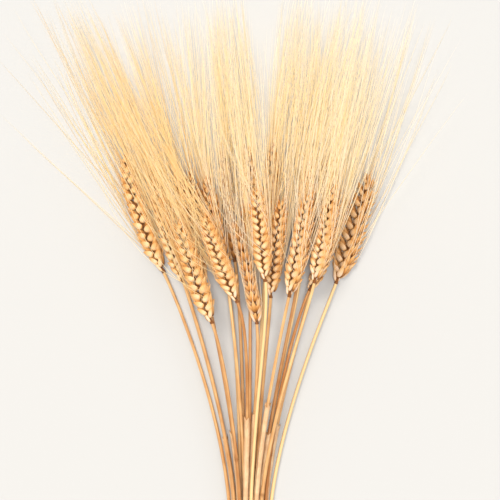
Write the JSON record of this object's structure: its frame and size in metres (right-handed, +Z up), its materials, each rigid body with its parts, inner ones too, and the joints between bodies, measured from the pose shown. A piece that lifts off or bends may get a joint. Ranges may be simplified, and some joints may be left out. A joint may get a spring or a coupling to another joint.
{
  "type": "bundle of dried wheat",
  "caption": "Loose bundle of dried bearded wheat, lying down: straws gathered low and fanning out to plump ears with long fine awns, for decoration.",
  "frame": {"origin": "centre of the bundle's outline seen from above, on the surface it lies on", "axes": "+X across the bundle, +Y along it from the cut ends to the tips of the awns, +Z up from the surface"},
  "size_m": [0.3285, 0.4895, 0.0484],
  "materials": {
    "straw": "smooth golden straw with a waxy sheen and fine lengthwise ribs",
    "ear": "dry papery husks, golden tan with paler edges, and cream to golden bristles",
    "leaf_sheath": "matt papery dried leaf, pale pinkish beige with fine parallel veins"
  },
  "bodies": {
    "root": {"ear_01": "ear", "ear_02": "ear", "ear_03": "ear", "ear_04": "ear", "ear_05": "ear", "ear_06": "ear", "ear_07": "ear", "ear_08": "ear", "ear_09": "ear", "ear_10": "ear", "ear_11": "ear", "ear_12": "ear", "ear_13": "ear", "ear_14": "ear", "ear_15": "ear", "ear_16": "ear", "ear_17": "ear", "ear_18": "ear", "ear_19": "ear", "ear_20": "ear", "ear_21": "ear", "leaf_sheath_01": "leaf_sheath", "leaf_sheath_02": "leaf_sheath", "leaf_sheath_03": "leaf_sheath", "leaf_sheath_04": "leaf_sheath", "leaf_sheath_05": "leaf_sheath", "leaf_sheath_06": "leaf_sheath", "leaf_sheath_07": "leaf_sheath", "leaf_sheath_08": "leaf_sheath", "leaf_sheath_09": "leaf_sheath", "stem_01": "straw", "stem_02": "straw", "stem_03": "straw", "stem_04": "straw", "stem_05": "straw", "stem_06": "straw", "stem_07": "straw", "stem_08": "straw", "stem_09": "straw", "stem_10": "straw", "stem_11": "straw", "stem_12": "straw", "stem_13": "straw", "stem_14": "straw", "stem_15": "straw", "stem_16": "straw", "stem_17": "straw", "stem_18": "straw", "stem_19": "straw", "stem_20": "straw", "stem_21": "straw"}
  },
  "joints": []
}
